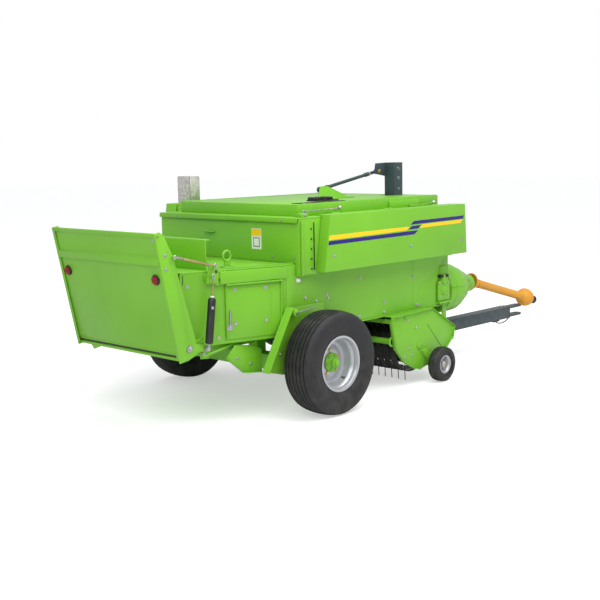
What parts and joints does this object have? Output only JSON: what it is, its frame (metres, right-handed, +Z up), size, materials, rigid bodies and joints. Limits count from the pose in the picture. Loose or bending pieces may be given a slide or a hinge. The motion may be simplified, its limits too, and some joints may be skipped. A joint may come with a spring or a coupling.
{
  "type": "trailed square baler",
  "caption": "Trailed square baler with two wheels, full-width tined pick-up, bale chamber, folding rear ramp, side hoods, drawbar and drive shaft.",
  "frame": {"origin": "on the ground, under the middle of the object's box", "axes": "+X forwards along the drawbar, +Y to the machine's left, +Z up"},
  "size_m": [5.4084, 2.29, 1.985],
  "materials": {
    "green_paint": "gloss enamel",
    "grey_paint": "satin enamel",
    "black_paint": "satin enamel",
    "tyre": "ribbed rubber",
    "rim_paint": "silver lacquer",
    "zinc_steel": "zinc plated",
    "orange_plastic": "moulded guard",
    "red_lens": "clear red lens"
  },
  "bodies": {
    "chassis": {"side_wall_right": "green_paint", "side_wall_left": "green_paint", "chamber_side_right": "green_paint", "chamber_side_left": "green_paint", "chamber_floor": "green_paint", "chamber_roof": "green_paint", "rear_crown": "green_paint", "lifting_eye": "green_paint", "upper_rear_wall": "green_paint", "deck": "green_paint", "raised_deck": "green_paint", "front_wall": "green_paint", "plunger": "grey_paint", "side_door_right": "green_paint", "side_door_left": "green_paint", "axle_beam": "green_paint", "wheel_leg_right": "green_paint", "wheel_leg_left": "green_paint", "gearbox": "grey_paint", "flywheel_guard": "green_paint", "drawbar_bracket": "green_paint", "drawbar": "grey_paint", "jack_sleeve": "grey_paint", "lever_shaft": "grey_paint", "link_bracket": "green_paint"},
    "wheel_right": {"tyre_right": "tyre", "rim_right": "rim_paint", "hub_right": "green_paint"},
    "wheel_left": {"tyre_left": "tyre", "rim_left": "rim_paint", "hub_left": "green_paint"},
    "pickup": {"pickup_shield_right": "green_paint", "pickup_shield_left": "green_paint", "pickup_tube": "green_paint", "stripper_bands": "black_paint"},
    "reel": {"tine_reel": "zinc_steel"},
    "gauge_wheel_right": {"gauge_wheel_right": "tyre"},
    "gauge_wheel_left": {"gauge_wheel_left": "tyre"},
    "hood_right": {"hood_right": "green_paint"},
    "hood_left": {"hood_left": "green_paint", "sign_plate": "zinc_steel"},
    "jack": {"jack_leg": "zinc_steel"},
    "shaft": {"shaft_inner": "orange_plastic"},
    "shaft_tube": {"shaft_outer": "orange_plastic"},
    "yoke": {"shaft_yoke": "black_paint"},
    "ramp": {"ramp_panel": "green_paint", "ramp_side_right": "green_paint", "ramp_side_left": "green_paint", "lamp_right": "red_lens", "lamp_left": "red_lens"},
    "stay_right": {"stay_right": "zinc_steel"},
    "stay_left": {"stay_left": "zinc_steel"},
    "strut_rod_right": {"strut_rod_right": "zinc_steel"},
    "strut_rod_left": {"strut_rod_left": "zinc_steel"},
    "strut_barrel_right": {"strut_barrel_right": "black_paint"},
    "strut_barrel_left": {"strut_barrel_left": "black_paint"},
    "needle_lever": {"needle_lever": "grey_paint"},
    "needle_link": {"needle_link": "grey_paint"}
  },
  "joints": [
    {"name": "wheel_right_roll", "type": "hinge", "parent": "chassis", "child": "wheel_right", "pos_m": [-1.24521, -1, 0.4225], "axis": [0, 1, 0], "continuous": true},
    {"name": "gauge_right_roll", "type": "hinge", "parent": "pickup", "child": "gauge_wheel_right", "pos_m": [0.27479, -1, 0.161], "axis": [0, 1, 0], "continuous": true},
    {"name": "hood_right_hinge", "type": "hinge", "parent": "chassis", "child": "hood_right", "pos_m": [-0.23021, -0.8, 1.5843], "axis": [-1, 0, 0], "range_deg": [0, 75]},
    {"name": "stay_right_swing", "type": "hinge", "parent": "chassis", "child": "stay_right", "pos_m": [-2.16021, -0.68, 1.262], "axis": [0, -1, 0], "range_deg": [0, 35]},
    {"name": "strut_right_tilt", "type": "hinge", "parent": "chassis", "child": "strut_rod_right", "pos_m": [-2.19021, -0.69, 1.19], "axis": [0, 1, 0], "range_deg": [0, 25]},
    {"name": "strut_right_slide", "type": "slide", "parent": "strut_rod_right", "child": "strut_barrel_right", "axis": [0.1286, 0, 0.9917], "range_m": [0, 0.115]},
    {"name": "wheel_left_roll", "type": "hinge", "parent": "chassis", "child": "wheel_left", "pos_m": [-1.04521, 1, 0.4225], "axis": [0, 1, 0], "continuous": true},
    {"name": "gauge_left_roll", "type": "hinge", "parent": "pickup", "child": "gauge_wheel_left", "pos_m": [0.27479, 1, 0.161], "axis": [0, 1, 0], "continuous": true},
    {"name": "hood_left_hinge", "type": "hinge", "parent": "chassis", "child": "hood_left", "pos_m": [-0.27021, 0.8, 1.6393], "axis": [1, 0, 0], "range_deg": [0, 75]},
    {"name": "stay_left_swing", "type": "hinge", "parent": "chassis", "child": "stay_left", "pos_m": [-2.16021, 0.68, 1.262], "axis": [0, -1, 0], "range_deg": [0, 35]},
    {"name": "strut_left_tilt", "type": "hinge", "parent": "chassis", "child": "strut_rod_left", "pos_m": [-2.19021, 0.69, 1.19], "axis": [0, 1, 0], "range_deg": [0, 25]},
    {"name": "strut_left_slide", "type": "slide", "parent": "strut_rod_left", "child": "strut_barrel_left", "axis": [0.1286, 0, 0.9917], "range_m": [0, 0.115]},
    {"name": "pickup_lift", "type": "hinge", "parent": "chassis", "child": "pickup", "pos_m": [-0.12521, 0, 0.625], "axis": [0, -1, 0], "range_deg": [0, 11]},
    {"name": "reel_turn", "type": "hinge", "parent": "pickup", "child": "reel", "pos_m": [0.07479, 0, 0.352], "axis": [0, 1, 0], "continuous": true},
    {"name": "ramp_fold", "type": "hinge", "parent": "chassis", "child": "ramp", "pos_m": [-2.41521, 0, 0.665], "axis": [0, -1, 0], "range_deg": [0, 95]},
    {"name": "shaft_tilt", "type": "hinge", "parent": "chassis", "child": "shaft", "pos_m": [1.49479, -0.5, 0.75], "axis": [0, -1, 0], "range_deg": [-2, 20]},
    {"name": "shaft_extend", "type": "slide", "parent": "shaft", "child": "shaft_tube", "axis": [0.9659, 0, -0.2588], "range_m": [0, 0.25]},
    {"name": "yoke_turn", "type": "hinge", "parent": "shaft_tube", "child": "yoke", "pos_m": [1.49479, -0.5, 0.75], "axis": [0.9659, 0, -0.2588], "continuous": true},
    {"name": "jack_raise", "type": "slide", "parent": "chassis", "child": "jack", "axis": [0, 0, 1], "range_m": [0, 0.17]},
    {"name": "needle_lever_swing", "type": "hinge", "parent": "chassis", "child": "needle_lever", "pos_m": [0.46479, -0.3, 1.2], "axis": [0, -1, 0], "range_deg": [0, 8]},
    {"name": "needle_link_turn", "type": "hinge", "parent": "needle_lever", "child": "needle_link", "pos_m": [0.31479, -0.215, 1.905], "axis": [0, -1, 0], "range_deg": [-10, 0]}
  ],
  "couplings": [
    {"joint": "strut_right_tilt", "follows": "ramp_fold", "ratio": 0.25},
    {"joint": "strut_right_slide", "follows": "ramp_fold", "m_per_rad": 0.0676},
    {"joint": "strut_left_tilt", "follows": "ramp_fold", "ratio": 0.25},
    {"joint": "strut_left_slide", "follows": "ramp_fold", "m_per_rad": 0.0676},
    {"joint": "needle_link_turn", "follows": "needle_lever_swing", "ratio": -1.247}
  ]
}
